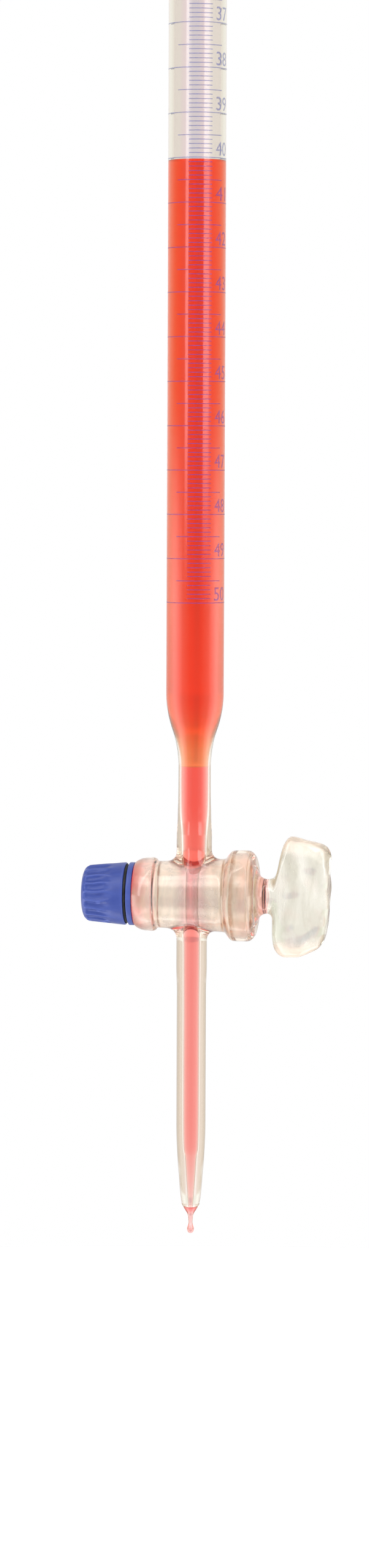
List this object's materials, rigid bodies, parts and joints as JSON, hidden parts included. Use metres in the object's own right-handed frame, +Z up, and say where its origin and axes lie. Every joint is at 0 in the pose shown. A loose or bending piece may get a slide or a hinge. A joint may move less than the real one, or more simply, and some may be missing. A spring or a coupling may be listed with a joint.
{
  "type": "burette",
  "caption": "Straight glass burette tube with an enamel scale, ground glass stopcock, plastic retaining nut and drawn delivery jet, part filled with red titrant.",
  "frame": {"origin": "on the graduated tube's axis, level with the middle line of the scale", "axes": "+Z up the tube, +X along the stopcock key towards its handle, scale read from -Y"},
  "size_m": [0.0594, 0.0218, 0.7385],
  "materials": {
    "clear_glass": "clear, fire polished",
    "key_glass": "clear moulded, ground on the taper",
    "blue_enamel": "fired enamel print",
    "blue_plastic": "moulded, satin",
    "black_rubber": "matte",
    "red_titrant": "clear liquid"
  },
  "bodies": {
    "burette": {"graduated_tube": "clear_glass", "enamel_ml_rings": "blue_enamel", "enamel_half_marks": "blue_enamel", "enamel_tenth_marks": "blue_enamel", "inlet_arm": "clear_glass", "stopcock_barrel": "clear_glass", "outlet_arm": "clear_glass", "delivery_jet": "clear_glass", "titrant_column": "red_titrant", "jet_liquid": "red_titrant", "pendant_drop": "red_titrant"},
    "key": {"stopcock_key": "key_glass", "thrust_washer": "blue_plastic", "key_bore_liquid": "red_titrant"},
    "ring": {"tension_ring": "black_rubber"},
    "nut": {"retaining_nut": "blue_plastic"}
  },
  "joints": [
    {"name": "key_turn", "type": "hinge", "parent": "burette", "child": "key", "pos_m": [0, 0, -0.3308], "axis": [1, 0, 0], "continuous": true},
    {"name": "nut_travel", "type": "slide", "parent": "key", "child": "ring", "axis": [-1, 0, 0], "range_m": [0, 0.008]},
    {"name": "nut_turn", "type": "hinge", "parent": "ring", "child": "nut", "pos_m": [-0.021, 0, -0.3308], "axis": [-1, 0, 0], "range_deg": [0, 1440]}
  ],
  "couplings": [
    {"joint": "nut_turn", "follows": "nut_travel", "rad_per_m": 3141.6}
  ]
}
